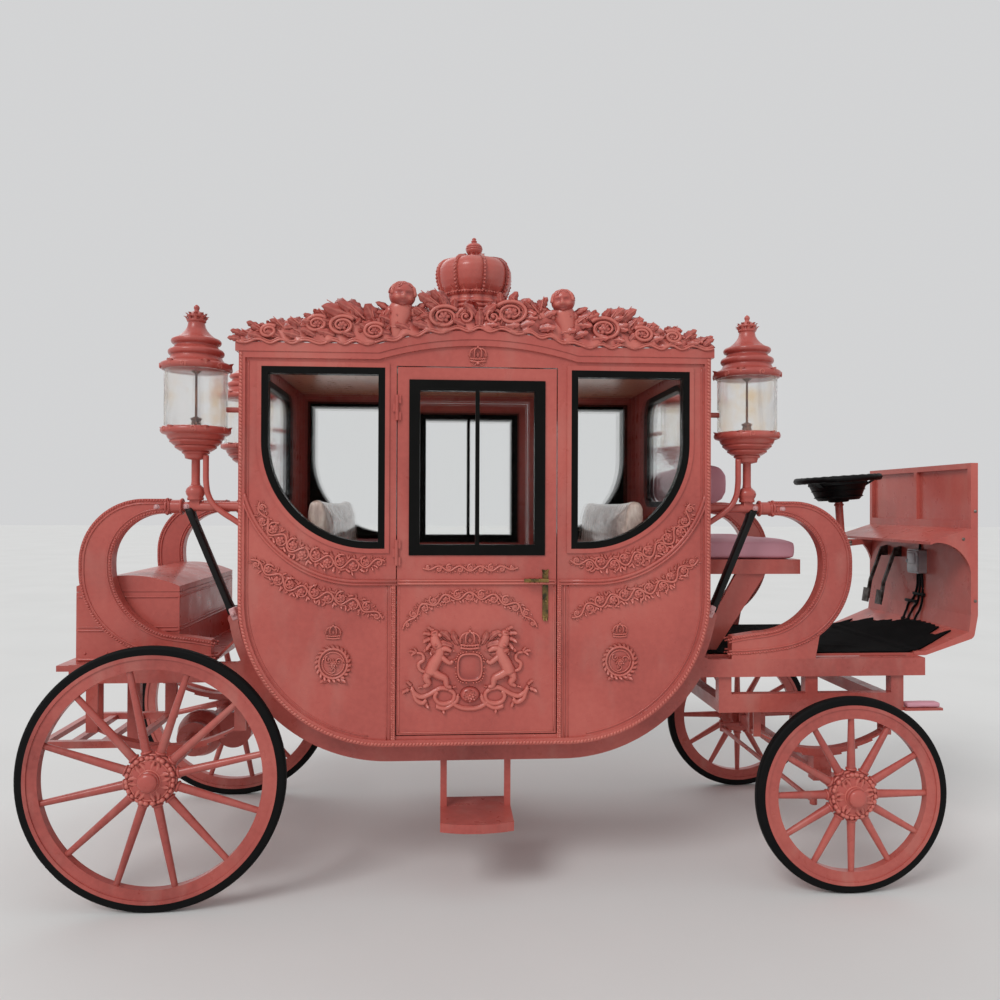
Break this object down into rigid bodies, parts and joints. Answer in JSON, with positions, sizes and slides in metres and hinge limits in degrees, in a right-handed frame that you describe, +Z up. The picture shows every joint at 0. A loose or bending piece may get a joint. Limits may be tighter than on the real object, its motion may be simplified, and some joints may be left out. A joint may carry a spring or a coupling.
{
  "type": "royal carriage",
  "caption": "Closed coach with a crown on its roof, four lamps, leather braces, spoked wheels, hinged doors, a rear trunk and a driver's seat with steering wheel.",
  "frame": {"origin": "on the ground under the middle of the overall length and width", "axes": "+X forwards to the driver's end, +Y to the carriage's left, +Z up"},
  "size_m": [4.6, 1.654, 3.198],
  "materials": {
    "pink_paint": "gloss paint",
    "black_paint": "satin paint",
    "black_rubber": "matt rubber",
    "clear_glass": "clear",
    "mauve_leather": "soft sheen",
    "pale_leather": "soft sheen",
    "black_leather": "matt",
    "black_carpet": "pile",
    "old_brass": "antique",
    "dark_steel": "oily",
    "silver_box": "satin",
    "black_plastic": "grained"
  },
  "bodies": {
    "carriage": {"cab_side_right": "pink_paint", "cab_side_left": "pink_paint", "cab_end_rear": "pink_paint", "cab_end_front": "pink_paint", "cab_belly": "pink_paint", "cab_roof": "pink_paint", "roof_cresting": "pink_paint", "crown": "pink_paint", "window_frames": "black_paint", "window_glass": "clear_glass", "door_steps": "pink_paint", "chassis_frame": "pink_paint", "c_scrolls": "pink_paint", "leather_braces": "black_leather", "lamp_metalwork": "pink_paint", "lamp_glasses": "clear_glass", "rear_trunk": "pink_paint", "rear_step": "pink_paint", "cabin_benches": "pink_paint", "cabin_cushions": "pale_leather", "front_frame": "pink_paint", "driver_floor": "pink_paint", "driver_carpet": "black_carpet", "dash_panel": "pink_paint", "driver_bench": "pink_paint", "driver_cushions": "mauve_leather", "fuse_box": "silver_box", "pedals": "dark_steel", "steering_column": "pink_paint", "rear_axle": "pink_paint", "front_axle": "pink_paint", "leaf_springs": "pink_paint"},
    "door_right": {"door_right": "pink_paint", "door_frame_right": "black_paint", "door_glass_right": "clear_glass", "door_handle_right": "old_brass"},
    "door_left": {"door_left": "pink_paint", "door_frame_left": "black_paint", "door_glass_left": "clear_glass", "door_handle_left": "old_brass"},
    "trunk_lid": {"trunk_lid": "pink_paint"},
    "knuckle_right": {"knuckle_right": "pink_paint"},
    "knuckle_left": {"knuckle_left": "pink_paint"},
    "tie_rod": {"tie_rod": "pink_paint"},
    "steering_wheel": {"steering_wheel": "black_plastic"},
    "wheel_rear_right": {"wheel_rear_right": "pink_paint", "tyre_rear_right": "black_rubber"},
    "wheel_rear_left": {"wheel_rear_left": "pink_paint", "tyre_rear_left": "black_rubber"},
    "wheel_front_right": {"wheel_front_right": "pink_paint", "tyre_front_right": "black_rubber"},
    "wheel_front_left": {"wheel_front_left": "pink_paint", "tyre_front_left": "black_rubber"}
  },
  "joints": [
    {"name": "steer_right", "type": "hinge", "parent": "carriage", "child": "knuckle_right", "pos_m": [1.526, -0.65, 0.448], "axis": [0, 0, 1], "range_deg": [-28, 28]},
    {"name": "steer_left", "type": "hinge", "parent": "carriage", "child": "knuckle_left", "pos_m": [1.526, 0.65, 0.448], "axis": [0, 0, 1], "range_deg": [-28, 28]},
    {"name": "tie_rod_swing", "type": "hinge", "parent": "knuckle_right", "child": "tie_rod", "pos_m": [1.396, -0.65, 0.384], "axis": [0, 0, 1], "range_deg": [-28, 28]},
    {"name": "steering_wheel_turn", "type": "hinge", "parent": "carriage", "child": "steering_wheel", "pos_m": [1.95, 0.22, 1.555], "axis": [-0.0698, 0, 0.9976], "range_deg": [-336, 336]},
    {"name": "wheel_rear_right_spin", "type": "hinge", "parent": "carriage", "child": "wheel_rear_right", "pos_m": [-1.6, -0.755, 0.575], "axis": [0, 1, 0], "continuous": true},
    {"name": "wheel_rear_left_spin", "type": "hinge", "parent": "carriage", "child": "wheel_rear_left", "pos_m": [-1.6, 0.755, 0.575], "axis": [0, 1, 0], "continuous": true},
    {"name": "wheel_front_right_spin", "type": "hinge", "parent": "knuckle_right", "child": "wheel_front_right", "pos_m": [1.526, -0.755, 0.448], "axis": [0, 1, 0], "continuous": true},
    {"name": "wheel_front_left_spin", "type": "hinge", "parent": "knuckle_left", "child": "wheel_front_left", "pos_m": [1.526, 0.755, 0.448], "axis": [0, 1, 0], "continuous": true},
    {"name": "door_right_swing", "type": "hinge", "parent": "carriage", "child": "door_right", "pos_m": [-0.5535, -0.709, 1.877], "axis": [0, 0, -1], "range_deg": [0, 95]},
    {"name": "door_left_swing", "type": "hinge", "parent": "carriage", "child": "door_left", "pos_m": [-0.5535, 0.709, 1.877], "axis": [0, 0, 1], "range_deg": [0, 95]},
    {"name": "trunk_lid_lift", "type": "hinge", "parent": "carriage", "child": "trunk_lid", "pos_m": [-2.04, 0, 1.358], "axis": [0, -1, 0], "range_deg": [0, 95]}
  ],
  "couplings": [
    {"joint": "steer_left", "follows": "steer_right", "ratio": 1},
    {"joint": "tie_rod_swing", "follows": "steer_right", "ratio": -1},
    {"joint": "steering_wheel_turn", "follows": "steer_right", "ratio": 12}
  ]
}
